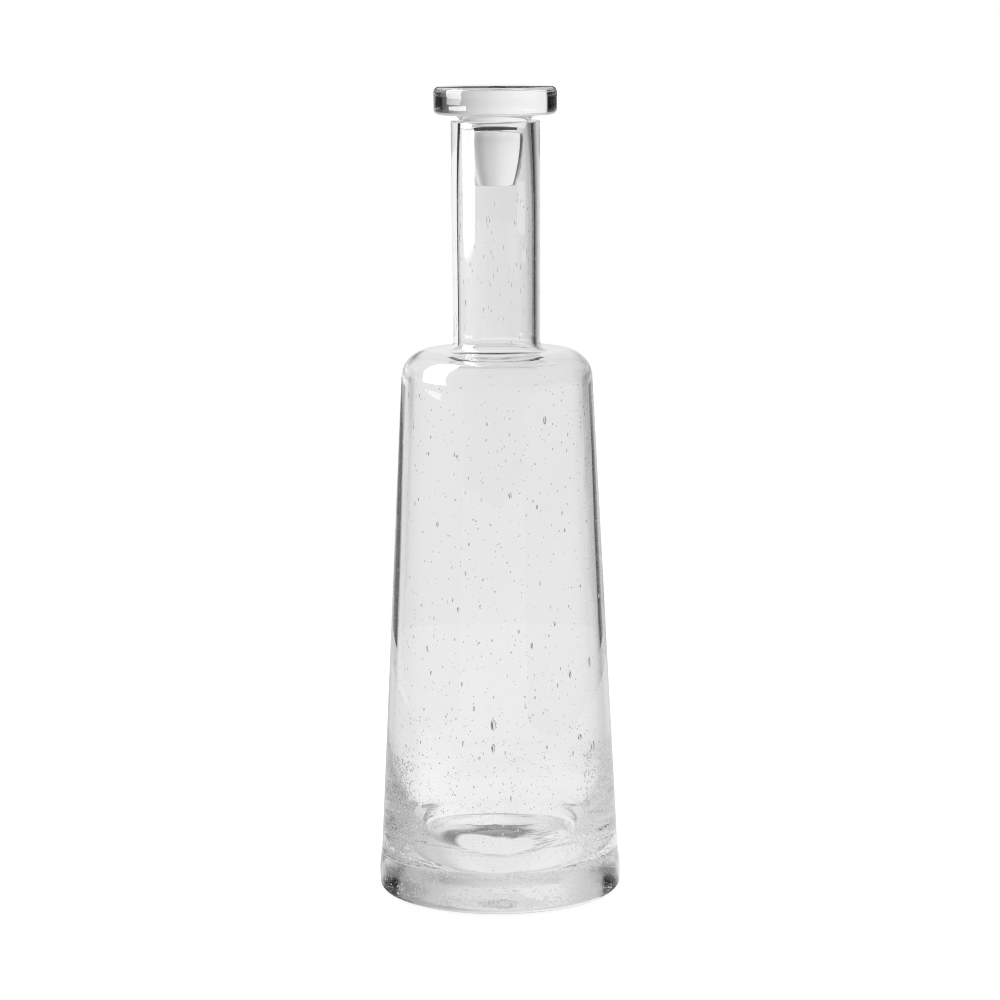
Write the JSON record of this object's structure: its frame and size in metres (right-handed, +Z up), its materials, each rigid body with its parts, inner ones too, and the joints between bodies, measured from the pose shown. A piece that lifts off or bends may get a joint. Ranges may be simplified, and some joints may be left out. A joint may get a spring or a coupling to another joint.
{
  "type": "carafe with glass stopper",
  "caption": "Tall tapered clear seeded-glass carafe with a slender neck, heavy foot and lift-off solid glass stopper.",
  "frame": {"origin": "centre of the foot at table level", "axes": "+Z up along the turned axis of bottle and stopper; the camera of the picture looks along +Y, with +X to its right"},
  "size_m": [0.0952, 0.0952, 0.3151],
  "materials": {
    "bottle_glass": "clear blown glass with many small air bubbles, fire polished",
    "stopper_glass": "clear solid glass, polished, with a few small bubbles"
  },
  "bodies": {
    "bottle": {"bottle": "bottle_glass"},
    "stopper": {"stopper": "stopper_glass"}
  },
  "joints": [
    {"name": "stopper_lift", "type": "slide", "parent": "bottle", "child": "stopper", "axis": [0, 0, 1], "range_m": [0, 0.045]}
  ]
}
